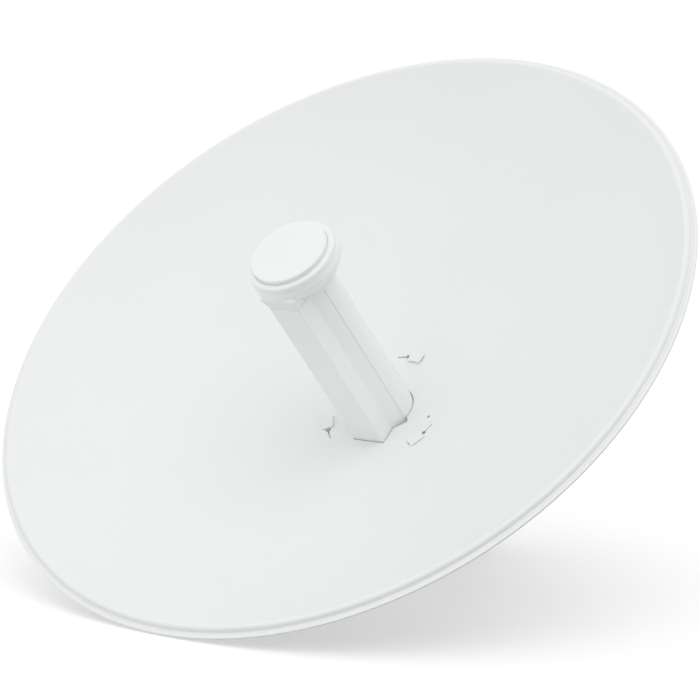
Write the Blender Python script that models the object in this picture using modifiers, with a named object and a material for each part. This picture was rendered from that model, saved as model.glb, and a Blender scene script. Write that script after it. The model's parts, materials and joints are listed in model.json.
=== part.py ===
"""Wireless bridge dish antenna with its pole bracket, leaning back on level ground.

Every piece is laid out in the dish frame: X to the right as the bowl is faced, Y up across
the bowl, Z out of the bowl along its axis, with Z = 0 at the crest of the rolled lip. One
empty then tips the whole antenna back until the rim and the lower pole clamp touch the
ground, and moves it so that the middle of its footprint is the origin.
"""
import math

import bmesh
import bpy
from mathutils import Matrix, Vector

# Gap between pieces that touch
GAP = 0.0003

# Bowl: a paraboloid with a rolled lip and a stepped flange
BOWL_RADIUS = 0.3134
BOWL_EDGE_DROP = 0.0012
BOWL_DEPTH = 0.1180
SHEET = 0.0015
RIM_RADIUS = 0.325
FLANGE_BACK = 0.0070
FLANGE_BACK_RADIUS = 0.3245
BOWL_STEPS = 72
BOWL_RINGS = (0.030, 0.050, 0.070, 0.110, 0.150, 0.190, 0.230, 0.265, 0.290)
ROLLED_LIP = ((0.3150, -0.0003), (0.3163, 0.0), (0.3175, -0.0002), (0.3184, -0.0011),
              (0.3190, -0.0035), (0.3196, -0.0047), (0.3208, -0.0043), (0.3222, -0.0038),
              (0.3237, -0.0042), (0.3247, -0.0050), (RIM_RADIUS, -0.0060),
              (FLANGE_BACK_RADIUS, -FLANGE_BACK))
LIP_BACK = ((0.3196, -FLANGE_BACK), (0.3175, -0.0058), (0.3167, -0.0029), (0.3139, -0.0031))
# Heights of the cutters that pass through the bottom of the bowl
CUT_TOP = -0.1000
BEHIND_BOWL_REACH = 0.1100
BEHIND_BOWL_TOP = -0.0500

# Feed: tube, spine, neck and cap
TUBE_RADIUS = 0.0240
TUBE_ARC_POINTS = 31
CAP_STEPS = 48
SPINE_HALF_WIDTH = 0.0157
SPINE_BOTTOM = -0.0375
SPINE_WAIST_Y = -0.0199
SHOULDER_X = 0.0230
SHOULDER_Y = -0.0080
SEAM_ANGLE = -18.7
COLUMN_TOP = 0.0590
SOCKET_FLOOR = -0.1300
OPENING_CLEARANCE = 0.0008
SOCKET_CLEARANCE = 0.0004
NECK_RADIUS = 0.0308
NECK_TOP = 0.0750
# The neck spreads from its own radius to the cap's, as (radius, height)
NECK_SPREAD = ((0.0380, 0.0720), (0.0358, 0.0688), (0.0330, 0.0660), (0.0314, 0.0640))
COLLAR_FLARE = 0.0028
RING_RADIUS = 0.0395
RING_TOP = 0.0862
CAP_FLOOR = 0.0830
CAP_GROOVE_RADIUS = 0.0348
RING_ROUND = 0.0023
RING_ROUND_HEIGHT = 0.0026
RING_SIDE_END = 0.0800
RING_FOOT_RADIUS = 0.0384
GROOVE_CHAMFER = 0.0006
DISC_RADIUS = 0.0344
DISC_TOP = 0.0904
DISC_EDGE = ((0.0030, 0.0001), (0.0008, 0.0006), (0.0, 0.0018))

# Locking slots, each with a lug whose head lies on the bowl, and the small hole
SLOT_RADIUS = 0.0570
SLOT_HALF_WIDTH = 0.0020
SLIT_HALF_WIDTH = 0.0006
SLOT_HALF_ANGLE = 15.0
SLOT_MIDDLES = (94.5, 214.5, 334.5)
SLOT_WELL_ANGLE = 3.0
SLOT_WELL_FLOOR = -0.1270
LUG_CLEARANCE = 0.0004
LUG_END_ANGLE = 0.4
LUG_HEAD_RADIUS = 0.0580
LUG_HEAD_HALF_WIDTH = 0.0065
LUG_HEAD_RISE = 0.0034
SMALL_HOLE_RADIUS = 0.0016
SMALL_HOLE = (0.0471, -0.0048)

# Rear housing and cable port
HOUSING_RADIUS = 0.0660
HOUSING_BACK = -0.1580
HOUSING_EDGE = ((0.0, 0.0100), (0.0015, 0.0045), (0.0050, 0.0012), (0.0100, 0.0))
PORT_HALF_WIDTH = 0.0200
PORT_BOTTOM = -0.0860
PORT_FRONT = -0.1250
PORT_BACK = -0.1500
PORT_TOP = -0.0500
PORT_BORE_RADIUS = 0.0080
PORT_BORE_DEPTH = 0.0120
GROMMET_DEPTH = 0.0100
GROMMET_FLANGE = 0.0030
GROMMET_FLANGE_RADIUS = 0.0100
DOOR_HALF_WIDTH = 0.0165
DOOR_HALF_HEIGHT = 0.0075
DOOR_CORNER = 0.0020
DOOR_THICKNESS = 0.0020

# Dish bracket, held by four studs
STUD_OFFSET = 0.0580
STUD_RADIUS = 0.0070
STUD_FRONT = -0.1000
STUD_TIP = 0.0020
THREAD_RADIUS = 0.0030
NUT_RADIUS = 0.0065
NUT_HEIGHT = 0.0055
PLATE = 0.0030
WEB_HALF_WIDTH = 0.0700
WEB_HALF_HEIGHT = 0.0720
WEB_CORNER = 0.0120
WEB_FRONT = HOUSING_BACK - GAP
WEB_BACK = WEB_FRONT - PLATE
EAR_INSIDE = 0.0315
EAR_END = -0.2160
EAR_SHOULDER = 0.0440
EAR_SHOULDER_LENGTH = 0.0060
EAR_CORNER = ((0.0380, 0.0120), (0.0300, 0.0030), (0.0220, 0.0))
PIVOT_Y = -0.0220
LOCK_Y = 0.0240
PIVOT_Z = -0.1960
ARC_HALF_ANGLE = 16.0
BOLT_RADIUS = 0.0040
HOLE_CLEARANCE = 0.0004
HEAD_RADIUS = 0.0075
HEAD_HEIGHT = 0.0053
HEAD_FLANGE = 0.0018
HEAD_TOP_RADIUS = 0.0062
EDGE_CHAMFER = 0.0008
HEX_STEPS = 6
BOLT_STEPS = 16
GROUND_X = 0.0580
GROUND_WASHER = (0.0060, 0.0018)
GROUND_HEAD = (0.0048, 0.0058)

# Pole bracket and its clamps
POLE_WEB_HALF_WIDTH = 0.0480
POLE_WEB_HALF_HEIGHT = 0.0440
POLE_WEB_FRONT = -0.2240
POLE_WEB_BACK = POLE_WEB_FRONT - PLATE
POLE_EAR_END = -0.1820
POLE_EAR_HALF = 0.0360
POLE_CORNER = 0.0080
CLAMP_Y = 0.0260
CLAMP_HALF_HEIGHT = 0.0120
CLAMP_HALF_WIDTH = 0.0480
CLAMP_V_HALF = 0.0240
CLAMP_V_DEPTH = 0.0120
CLAMP_V_FLAT = 0.0040
CLAMP_BOLT_X = 0.0395
SADDLE_FACE = -0.2412
CLAMP_FACE = -0.2580
CLAMP_BACK = -0.2750
CLAMP_CORNER = 0.0040
CLAMP_NUT_HEIGHT = 0.0065
CLAMP_BOLT_SPARE = 0.0100
PIVOT_BOLT_SPARE = 0.0030
# How far the drills run past what they cut
DRILL = 0.0200

WHITE_METAL = (0.80, 0.82, 0.82, 1.0)
WHITE_PLASTIC = (0.82, 0.84, 0.83, 1.0)
ZINC = (0.62, 0.63, 0.64, 1.0)
RUBBER = (0.03, 0.03, 0.03, 1.0)


def clear_scene():
    for item in list(bpy.data.objects):
        bpy.data.objects.remove(item, do_unlink=True)


def collection(name):
    found = bpy.data.collections.new(name)
    bpy.context.scene.collection.children.link(found)
    return found


def paint(item, colour, roughness, metallic):
    """Gives one piece a material of its own."""
    material = bpy.data.materials.new(item.name)
    material.use_nodes = True
    shader = material.node_tree.nodes["Principled BSDF"]
    shader.inputs["Base Color"].default_value = colour
    shader.inputs["Roughness"].default_value = roughness
    shader.inputs["Metallic"].default_value = metallic
    item.data.materials.clear()
    item.data.materials.append(material)


def add_object(name, mesh):
    item = bpy.data.objects.new(name, mesh)
    PARTS.objects.link(item)
    return item


def as_cutter(item):
    """Moves a helper shape out of the model, so that it only cuts."""
    PARTS.objects.unlink(item)
    CUTTERS.objects.link(item)
    item.hide_render = True
    item.display_type = "WIRE"
    return item


def boolean(item, tool, operation="DIFFERENCE"):
    change = item.modifiers.new(operation.title(), "BOOLEAN")
    change.operation = operation
    change.solver = "EXACT"
    change.object = as_cutter(tool) if tool.name in PARTS.objects else tool


def turned(name, profile, steps=32, turn=0.0):
    """A solid of revolution about Z; the profile runs from the axis down its outer side."""
    mesh = bpy.data.meshes.new(name)
    edges = [(i, i + 1) for i in range(len(profile) - 1)]
    mesh.from_pydata([(r, 0.0, z) for r, z in profile], edges, [])
    item = add_object(name, mesh)
    screw = item.modifiers.new("Screw", "SCREW")
    screw.steps = steps
    screw.render_steps = steps
    screw.use_merge_vertices = True
    screw.merge_threshold = 0.00001
    screw.use_smooth_shade = True
    item.rotation_euler.z = turn
    return item


# Turns an outline drawn in X and Y so that its thickness lies along the named axis
ALONG = {
    "z": Matrix.Identity(4),
    "x": Matrix(((0, 0, 1, 0), (1, 0, 0, 0), (0, 1, 0, 0), (0, 0, 0, 1))),
    "y": Matrix(((0, 1, 0, 0), (0, 0, 1, 0), (1, 0, 0, 0), (0, 0, 0, 1))),
}


def slab(name, outline, low, high, along="z"):
    """A flat outline with a thickness from low to high.

    Along z the outline is (x, y), along x it is (y, z), along y it is (z, x).
    """
    curve = bpy.data.curves.new(name, "CURVE")
    curve.dimensions = "2D"
    curve.fill_mode = "BOTH"
    curve.extrude = (high - low) / 2
    spline = curve.splines.new("POLY")
    spline.points.add(len(outline) - 1)
    for point, (a, b) in zip(spline.points, outline):
        point.co = (a, b, 0.0, 1.0)
    spline.use_cyclic_u = True
    sketch = add_object(name + "_sketch", curve)
    sketch.matrix_world = ALONG[along] @ Matrix.Translation((0.0, 0.0, (low + high) / 2))
    bpy.context.view_layer.update()
    evaluated = sketch.evaluated_get(bpy.context.evaluated_depsgraph_get())
    mesh = bpy.data.meshes.new_from_object(evaluated)
    mesh.name = name
    item = add_object(name, mesh)
    item.matrix_world = sketch.matrix_world
    bpy.data.objects.remove(sketch, do_unlink=True)
    work = bmesh.new()
    work.from_mesh(mesh)
    bmesh.ops.remove_doubles(work, verts=work.verts, dist=0.00001)
    bmesh.ops.recalc_face_normals(work, faces=work.faces)
    work.to_mesh(mesh)
    work.free()
    return item


def rod(name, radius, start, end, steps=24):
    """A plain cylinder between two points."""
    start, end = Vector(start), Vector(end)
    work = bmesh.new()
    bmesh.ops.create_cone(work, cap_ends=True, segments=steps, radius1=radius, radius2=radius,
                          depth=(end - start).length)
    mesh = bpy.data.meshes.new(name)
    work.to_mesh(mesh)
    work.free()
    mesh.shade_smooth()
    mesh.set_sharp_from_angle(angle=math.radians(35))
    item = add_object(name, mesh)
    item.location = (start + end) / 2
    item.rotation_mode = "QUATERNION"
    item.rotation_quaternion = (end - start).to_track_quat("Z", "Y")
    return item


def block(name, low, high, top_grow=0.0):
    """A box between two corners; top_grow widens its top on every side but the upper one."""
    work = bmesh.new()
    bmesh.ops.create_cube(work, size=1.0)
    for vert in work.verts:
        corner = [high[i] if vert.co[i] > 0 else low[i] for i in range(3)]
        if vert.co.z > 0:
            corner[0] += math.copysign(top_grow, vert.co.x)
            corner[1] -= top_grow if vert.co.y < 0 else 0.0
        vert.co = corner
    mesh = bpy.data.meshes.new(name)
    work.to_mesh(mesh)
    work.free()
    return add_object(name, mesh)


def arc(radius, start, end, count):
    """Points on a circle about the axis, from one angle to the other in degrees."""
    turns = [math.radians(start + (end - start) * i / (count - 1)) for i in range(count)]
    return [(radius * math.cos(t), radius * math.sin(t)) for t in turns]


def band(radius, half_width, middle, half_angle, count=9):
    """The outline of a curved slot about the axis."""
    outer = arc(radius + half_width, middle - half_angle, middle + half_angle, count)
    inner = arc(radius - half_width, middle + half_angle, middle - half_angle, count)
    return outer + inner


def rounded_rectangle(half_x, half_y, corner, count=4):
    outline = []
    for sx, sy, start in ((1, 1, 0), (-1, 1, 90), (-1, -1, 180), (1, -1, 270)):
        cx, cy = sx * (half_x - corner), sy * (half_y - corner)
        outline += [(cx + x, cy + y) for x, y in arc(corner, start, start + 90, count)]
    return outline


def bowl_front(r):
    """Height of the bowl's front surface at radius r."""
    rise = (BOWL_DEPTH - BOWL_EDGE_DROP) / BOWL_RADIUS ** 2
    return -BOWL_DEPTH + rise * r * r


def bowl_back(r):
    """Height of the bowl's back surface: one sheet thickness away, square to the slope."""
    slope = 2 * (BOWL_DEPTH - BOWL_EDGE_DROP) / BOWL_RADIUS ** 2 * r
    return bowl_front(r) - SHEET * math.hypot(1.0, slope)


def column_outline(grow=0.0):
    """The feed's keyhole section, grown on all sides: a tube with an angular spine below."""
    half = SPINE_HALF_WIDTH + grow
    right = [(half, SPINE_BOTTOM - grow), (half, SPINE_WAIST_Y - 0.3 * grow),
             (SHOULDER_X + grow, SHOULDER_Y - 0.2 * grow)]
    top = arc(TUBE_RADIUS + grow, SEAM_ANGLE + 4, 176 - SEAM_ANGLE, 29)
    left = [(-x, y) for x, y in reversed(right)]
    return right + top + left


def make_dish():
    profile = [(0.0, bowl_front(0.0))]
    profile += [(r, bowl_front(r)) for r in BOWL_RINGS + (BOWL_RADIUS,)]
    profile += ROLLED_LIP + LIP_BACK
    profile += [(r, bowl_back(r)) for r in reversed(BOWL_RINGS)]
    profile += [(0.0, bowl_back(0.0))]
    dish = turned("dish_reflector", profile, BOWL_STEPS, math.pi / BOWL_STEPS)
    opening = slab("feed_opening", column_outline(OPENING_CLEARANCE), SOCKET_FLOOR, CUT_TOP)
    boolean(dish, opening)
    for index, middle in enumerate(SLOT_MIDDLES):
        for part, width, start, end in (("slot", SLOT_HALF_WIDTH, -SLOT_HALF_ANGLE, SLOT_WELL_ANGLE),
                                        ("slit", SLIT_HALF_WIDTH, 0.0, SLOT_HALF_ANGLE)):
            outline = band(SLOT_RADIUS, width, middle + (start + end) / 2, (end - start) / 2)
            boolean(dish, slab(f"lug_{part}_{index + 1}", outline, SOCKET_FLOOR, CUT_TOP))
    boolean(dish, rod("small_hole", SMALL_HOLE_RADIUS, (*SMALL_HOLE, SOCKET_FLOOR),
                      (*SMALL_HOLE, CUT_TOP), 12))
    paint(dish, WHITE_METAL, 0.45, 0.0)


def bowl_cutter():
    """Everything in front of the bowl's back surface, one gap behind it."""
    profile = [(0.0, BEHIND_BOWL_TOP), (BEHIND_BOWL_REACH, BEHIND_BOWL_TOP)]
    rings = [r for r in BOWL_RINGS if r <= BEHIND_BOWL_REACH]
    profile += [(r, bowl_back(r) - GAP) for r in rings[::-1] + [0.0]]
    return as_cutter(turned("behind_bowl", profile, BOWL_STEPS, math.pi / BOWL_STEPS))


def make_feed():
    """The feed: its column is two mouldings that meet along a flat seam between the shoulders."""
    bottom = SOCKET_FLOOR + GAP
    top = COLUMN_TOP - GAP
    tube = slab("feed_tube", arc(TUBE_RADIUS, SEAM_ANGLE, 180 - SEAM_ANGLE, TUBE_ARC_POINTS),
                bottom, top)
    tube.data.shade_smooth()
    tube.data.set_sharp_from_angle(angle=math.radians(35))
    paint(tube, WHITE_PLASTIC, 0.40, 0.0)
    right = [(SPINE_HALF_WIDTH, SPINE_BOTTOM), (SPINE_HALF_WIDTH, SPINE_WAIST_Y),
             (SHOULDER_X, SHOULDER_Y)]
    left = [(-x, y) for x, y in reversed(right)]
    spine = slab("feed_spine", right + left, bottom, top)
    paint(spine, WHITE_PLASTIC, 0.40, 0.0)

    profile = [(0.0, NECK_TOP - GAP), (NECK_SPREAD[0][0], NECK_TOP - GAP), *NECK_SPREAD,
               (NECK_RADIUS, COLUMN_TOP), (0.0, COLUMN_TOP)]
    neck = turned("feed_neck", profile, CAP_STEPS)
    collar = block("neck_collar", (-SPINE_HALF_WIDTH, SPINE_BOTTOM, COLUMN_TOP),
                   (SPINE_HALF_WIDTH, 0.0, NECK_TOP - GAP), COLLAR_FLARE)
    boolean(neck, collar, "UNION")
    paint(neck, WHITE_PLASTIC, 0.40, 0.0)

    nose = [(RING_RADIUS - RING_ROUND * (1 - math.sin(t)),
             RING_TOP - RING_ROUND_HEIGHT * (1 - math.cos(t)))
            for t in (math.radians(a) for a in (0, 30, 60, 90))]
    profile = [(0.0, CAP_FLOOR), (CAP_GROOVE_RADIUS, CAP_FLOOR),
               (CAP_GROOVE_RADIUS, RING_TOP - GROOVE_CHAMFER),
               (CAP_GROOVE_RADIUS + GROOVE_CHAMFER, RING_TOP)]
    profile += nose + [(RING_RADIUS, RING_SIDE_END), (RING_FOOT_RADIUS, NECK_TOP), (0.0, NECK_TOP)]
    paint(turned("feed_cap_ring", profile, CAP_STEPS), WHITE_PLASTIC, 0.35, 0.0)

    profile = [(0.0, DISC_TOP)] + [(DISC_RADIUS - r, DISC_TOP - z) for r, z in DISC_EDGE]
    profile += [(DISC_RADIUS, CAP_FLOOR + GAP), (0.0, CAP_FLOOR + GAP)]
    paint(turned("feed_cap_disc", profile, CAP_STEPS), WHITE_PLASTIC, 0.35, 0.0)


def make_lug(name, middle):
    """A hook of the housing: its stem fills the slot and its head lies on the bowl."""
    half_angle = SLOT_HALF_ANGLE / 2 - LUG_END_ANGLE
    top = bowl_front(LUG_HEAD_RADIUS) + LUG_HEAD_RISE
    outline = band(LUG_HEAD_RADIUS, LUG_HEAD_HALF_WIDTH, middle, half_angle, 6)
    lug = slab(name, outline, bowl_front(0.0), top)
    rings = [0.0] + [r for r in BOWL_RINGS if r <= BEHIND_BOWL_REACH]
    profile = [(r, bowl_front(r) + GAP) for r in rings]
    profile += [(rings[-1], SOCKET_FLOOR), (0.0, SOCKET_FLOOR)]
    boolean(lug, turned(name + "_seat", profile, BOWL_STEPS, math.pi / BOWL_STEPS))
    outline = band(SLOT_RADIUS, SLOT_HALF_WIDTH - LUG_CLEARANCE, middle, half_angle, 6)
    low = bowl_back(SLOT_RADIUS + SLOT_HALF_WIDTH)
    boolean(lug, slab(name + "_stem", outline, low, top - LUG_HEAD_RISE / 2), "UNION")
    paint(lug, WHITE_PLASTIC, 0.45, 0.0)


def make_housing(behind_bowl):
    edge = bowl_back(HOUSING_RADIUS) - GAP
    profile = [(0.0, edge), (HOUSING_RADIUS, edge)]
    profile += [(HOUSING_RADIUS - r, HOUSING_BACK + z) for r, z in HOUSING_EDGE]
    profile += [(0.0, HOUSING_BACK)]
    housing = turned("rear_housing", profile, BOWL_STEPS, math.pi / BOWL_STEPS)
    boolean(housing, behind_bowl)
    boolean(housing, slab("feed_socket", column_outline(SOCKET_CLEARANCE), SOCKET_FLOOR, CUT_TOP))
    paint(housing, WHITE_PLASTIC, 0.45, 0.0)

    for index, middle in enumerate(SLOT_MIDDLES):
        well = band(SLOT_RADIUS, SLOT_HALF_WIDTH, middle + SLOT_WELL_ANGLE / 2, SLOT_WELL_ANGLE / 2)
        boolean(housing, slab(f"slot_well_{index + 1}", well, SLOT_WELL_FLOOR, CUT_TOP))
        make_lug(f"locking_lug_{index + 1}", middle - SLOT_HALF_ANGLE / 2)

    port = block("cable_port", (-PORT_HALF_WIDTH, PORT_BOTTOM, PORT_BACK),
                 (PORT_HALF_WIDTH, PORT_TOP, PORT_FRONT))
    boolean(port, rod("housing_side", HOUSING_RADIUS + GAP, (0, 0, PORT_BACK - DRILL),
                      (0, 0, PORT_FRONT + DRILL), BOWL_STEPS))
    bore_z = (PORT_FRONT + PORT_BACK) / 2
    boolean(port, rod("port_bore", PORT_BORE_RADIUS, (0, PORT_BOTTOM - DRILL, bore_z),
                      (0, PORT_BOTTOM + PORT_BORE_DEPTH, bore_z)))
    paint(port, WHITE_PLASTIC, 0.45, 0.0)
    grommet = rod("cable_grommet", GROMMET_FLANGE_RADIUS,
                  (0, PORT_BOTTOM - GROMMET_FLANGE, bore_z), (0, PORT_BOTTOM - GAP, bore_z))
    plug = rod("grommet_plug", PORT_BORE_RADIUS - GAP,
               (0, PORT_BOTTOM - GROMMET_FLANGE / 2, bore_z),
               (0, PORT_BOTTOM + GROMMET_DEPTH, bore_z))
    boolean(grommet, plug, "UNION")
    paint(grommet, RUBBER, 0.80, 0.0)
    door_middle = (PORT_BOTTOM - HOUSING_RADIUS) / 2
    outline = rounded_rectangle(DOOR_HALF_WIDTH, DOOR_HALF_HEIGHT, DOOR_CORNER)
    door = slab("cable_port_door", [(x, y + door_middle) for x, y in outline],
                PORT_BACK - GAP - DOOR_THICKNESS, PORT_BACK - GAP)
    paint(door, WHITE_PLASTIC, 0.45, 0.0)


def hex_nut(name, place, height, bore, axis):
    """A nut whose near face is at place and which runs along the axis."""
    place, axis = Vector(place), Vector(axis)
    radius = NUT_RADIUS if bore < BOLT_RADIUS else HEAD_RADIUS
    nut = rod(name, radius, place, place + height * axis, HEX_STEPS)
    boolean(nut, rod(name + "_bore", bore + GAP, place - axis * height, place + 2 * height * axis,
                     BOLT_STEPS))
    paint(nut, ZINC, 0.35, 1.0)


def bolt(name, under_head, end, axis):
    """A flanged bolt along the axis, from its head's underside to the end of its shank."""
    length = end - under_head
    profile = [(0.0, HEAD_HEIGHT), (HEAD_TOP_RADIUS - EDGE_CHAMFER, HEAD_HEIGHT),
               (HEAD_TOP_RADIUS, HEAD_HEIGHT - EDGE_CHAMFER), (HEAD_TOP_RADIUS, HEAD_FLANGE),
               (HEAD_RADIUS, HEAD_FLANGE - EDGE_CHAMFER), (HEAD_RADIUS, 0.0), (BOLT_RADIUS, 0.0),
               (BOLT_RADIUS, EDGE_CHAMFER - length), (BOLT_RADIUS - EDGE_CHAMFER, -length),
               (0.0, -length)]
    item = turned(name, profile, BOLT_STEPS)
    paint(item, ZINC, 0.35, 1.0)
    item.rotation_mode = "QUATERNION"
    item.rotation_quaternion = (-Vector(axis)).to_track_quat("Z", "Y")
    return item


def make_dish_bracket(behind_bowl):
    corners = [(sx, sy) for sx in (-1, 1) for sy in (-1, 1)]
    web = slab("dish_bracket", rounded_rectangle(WEB_HALF_WIDTH, WEB_HALF_HEIGHT, WEB_CORNER),
               WEB_BACK, WEB_FRONT)
    ear = [(EAR_SHOULDER, WEB_FRONT - PLATE / 2), (EAR_SHOULDER, WEB_BACK - EAR_SHOULDER_LENGTH)]
    ear += [(y, EAR_END + z) for y, z in EAR_CORNER]
    ear += [(-y, z) for y, z in reversed(ear)]
    for side, inner in (("right", EAR_INSIDE), ("left", -EAR_INSIDE - PLATE)):
        boolean(web, slab(f"bracket_ear_{side}", ear, inner, inner + PLATE, "x"), "UNION")
    arm = LOCK_Y - PIVOT_Y
    arc_slot = [(PIVOT_Y + y, PIVOT_Z + z)
                for y, z in band(arm, BOLT_RADIUS + HOLE_CLEARANCE, 0.0, ARC_HALF_ANGLE)]
    side = EAR_INSIDE + DRILL
    boolean(web, slab("arc_slot", arc_slot, -side, side, "x"))
    boolean(web, rod("pivot_hole", BOLT_RADIUS + HOLE_CLEARANCE, (-side, PIVOT_Y, PIVOT_Z),
                     (side, PIVOT_Y, PIVOT_Z)))
    studs = [(sx * STUD_OFFSET, sy * STUD_OFFSET) for sx, sy in corners]
    for x, y in studs + [(GROUND_X, 0.0)]:
        boolean(web, rod("web_hole", THREAD_RADIUS + HOLE_CLEARANCE, (x, y, WEB_BACK - DRILL),
                         (x, y, WEB_FRONT + DRILL), BOLT_STEPS))
    paint(web, WHITE_METAL, 0.45, 0.0)

    for index, (x, y) in enumerate(studs):
        base, tip = WEB_FRONT + GAP, WEB_BACK - GAP - NUT_HEIGHT - STUD_TIP
        stud = turned(f"mounting_stud_{index + 1}",
                      [(0.0, STUD_FRONT), (STUD_RADIUS, STUD_FRONT), (STUD_RADIUS, base),
                       (THREAD_RADIUS, base), (THREAD_RADIUS, tip), (0.0, tip)], 24)
        stud.location = (x, y, 0.0)
        boolean(stud, behind_bowl)
        paint(stud, ZINC, 0.35, 1.0)
        hex_nut(f"mounting_nut_{index + 1}", (x, y, WEB_BACK - GAP), NUT_HEIGHT, THREAD_RADIUS,
                (0, 0, -1))

    tip, seat = WEB_FRONT - GAP, WEB_BACK - GAP
    washer_radius, washer = GROUND_WASHER
    head_radius, head = GROUND_HEAD
    terminal = turned("ground_terminal",
                      [(0.0, tip), (THREAD_RADIUS, tip), (THREAD_RADIUS, seat),
                       (washer_radius, seat), (washer_radius, seat - washer),
                       (head_radius, seat - washer - GAP), (head_radius, seat - head),
                       (head_radius - EDGE_CHAMFER, seat - head - EDGE_CHAMFER),
                       (0.0, seat - head - EDGE_CHAMFER)], BOLT_STEPS)
    terminal.location = (GROUND_X, 0.0, 0.0)
    paint(terminal, ZINC, 0.35, 1.0)


def make_pole_bracket():
    outline = rounded_rectangle(POLE_WEB_HALF_WIDTH, POLE_WEB_HALF_HEIGHT, POLE_CORNER)
    web = slab("pole_bracket", outline, POLE_WEB_BACK, POLE_WEB_FRONT)
    ear = [(POLE_EAR_HALF, POLE_WEB_FRONT - PLATE / 2), (POLE_EAR_HALF, POLE_EAR_END - POLE_CORNER),
           (POLE_EAR_HALF - POLE_CORNER, POLE_EAR_END)]
    ear += [(-y, z) for y, z in reversed(ear)]
    outer = EAR_INSIDE - GAP
    for side, low in (("right", outer - PLATE), ("left", -outer)):
        boolean(web, slab(f"pole_ear_{side}", ear, low, low + PLATE, "x"), "UNION")
    for y in (PIVOT_Y, LOCK_Y):
        boolean(web, rod("ear_hole", BOLT_RADIUS + HOLE_CLEARANCE,
                         (-EAR_INSIDE - DRILL, y, PIVOT_Z), (EAR_INSIDE + DRILL, y, PIVOT_Z)))
    for x, y in clamp_bolt_places():
        boolean(web, rod("web_hole", BOLT_RADIUS + HOLE_CLEARANCE, (x, y, POLE_WEB_BACK - DRILL),
                         (x, y, POLE_WEB_FRONT + DRILL)))
    paint(web, WHITE_METAL, 0.45, 0.0)

    side = EAR_INSIDE + PLATE + GAP
    for name, y in (("elevation_pivot", PIVOT_Y), ("elevation_lock", LOCK_Y)):
        item = bolt(name + "_bolt", -side, side + CLAMP_NUT_HEIGHT + PIVOT_BOLT_SPARE, (1, 0, 0))
        item.location = (-side, y, PIVOT_Z)
        hex_nut(name + "_nut", (side, y, PIVOT_Z), CLAMP_NUT_HEIGHT, BOLT_RADIUS, (1, 0, 0))


def clamp_bolt_places():
    return [(sx * CLAMP_BOLT_X, sy * CLAMP_Y) for sy in (1, -1) for sx in (1, -1)]


def jaw(name, middle, face, back, v_bottom):
    """A pressed clamp: a strap bent to a V that takes the pole, with a flange along each edge.

    The strap stands a little proud of its flanges, so that the pole meets flat faces, and
    the flanges' far corners are cut off.
    """
    inward = math.copysign(PLATE, back - face)
    bend = PLATE / 3
    strap = [(face, -CLAMP_HALF_WIDTH), (face, -CLAMP_V_HALF), (v_bottom, -CLAMP_V_FLAT),
             (v_bottom, CLAMP_V_FLAT), (face, CLAMP_V_HALF), (face, CLAMP_HALF_WIDTH),
             (face + inward, CLAMP_HALF_WIDTH), (face + inward, CLAMP_V_HALF + bend),
             (v_bottom + inward, CLAMP_V_FLAT + bend), (v_bottom + inward, -CLAMP_V_FLAT - bend),
             (face + inward, -CLAMP_V_HALF - bend), (face + inward, -CLAMP_HALF_WIDTH)]
    low, high = middle - CLAMP_HALF_HEIGHT, middle + CLAMP_HALF_HEIGHT
    piece = slab(name, strap, low + PLATE / 2, high - PLATE / 2, "y")
    half = CLAMP_HALF_WIDTH + GAP
    side = [(face + inward / 8, -half)] + [(z + inward / 8, x) for z, x in strap[1:5]]
    cut = back - math.copysign(CLAMP_CORNER, inward)
    side += [(face + inward / 8, half), (cut, half), (back, half - CLAMP_CORNER),
             (back, CLAMP_CORNER - half), (cut, -half)]
    for edge, start in (("low", low), ("high", high - PLATE)):
        boolean(piece, slab(f"{name}_{edge}", side, start, start + PLATE, "y"), "UNION")
    for x in (CLAMP_BOLT_X, -CLAMP_BOLT_X):
        boolean(piece, rod("jaw_hole", BOLT_RADIUS + HOLE_CLEARANCE, (x, middle, face - DRILL),
                           (x, middle, face + DRILL)))
    paint(piece, WHITE_METAL, 0.45, 0.0)


def make_clamps():
    for level, middle in (("upper", CLAMP_Y), ("lower", -CLAMP_Y)):
        jaw(f"pole_saddle_{level}", middle, SADDLE_FACE, POLE_WEB_BACK - GAP,
            SADDLE_FACE + CLAMP_V_DEPTH - PLATE)
        jaw(f"pole_clamp_{level}", middle, CLAMP_FACE, CLAMP_BACK, CLAMP_FACE - CLAMP_V_DEPTH)
    nut_face = CLAMP_FACE - PLATE - GAP
    for index, (x, y) in enumerate(clamp_bolt_places()):
        under_head = POLE_WEB_FRONT + GAP
        item = bolt(f"clamp_bolt_{index + 1}", 0.0, under_head - nut_face + CLAMP_BOLT_SPARE,
                    (0, 0, -1))
        item.location = (x, y, under_head)
        hex_nut(f"clamp_nut_{index + 1}", (x, y, nut_face), CLAMP_NUT_HEIGHT, BOLT_RADIUS,
                (0, 0, -1))


def stand_on_ground():
    """Tips the antenna back onto its rim and its lower clamp, and centres its footprint."""
    rim_bottom = FLANGE_BACK_RADIUS * math.cos(math.pi / BOWL_STEPS)
    clamp_bottom = CLAMP_Y + CLAMP_HALF_HEIGHT
    tilt = math.atan2(-CLAMP_BACK - FLANGE_BACK, rim_bottom - clamp_bottom)
    stance = bpy.data.objects.new("stance", None)
    PARTS.objects.link(stance)
    for item in list(PARTS.objects) + list(CUTTERS.objects):
        if item is not stance:
            item.parent = stance
    stance.rotation_euler.x = tilt
    bpy.context.view_layer.update()
    depsgraph = bpy.context.evaluated_depsgraph_get()
    places = []
    for item in PARTS.objects:
        if item.type == "MESH":
            corners = item.evaluated_get(depsgraph).data.vertices
            places += [item.matrix_world @ vert.co for vert in corners]
    front = min(place.y for place in places)
    back = max(place.y for place in places)
    stance.location = (0.0, -(front + back) / 2, -min(place.z for place in places))


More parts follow.
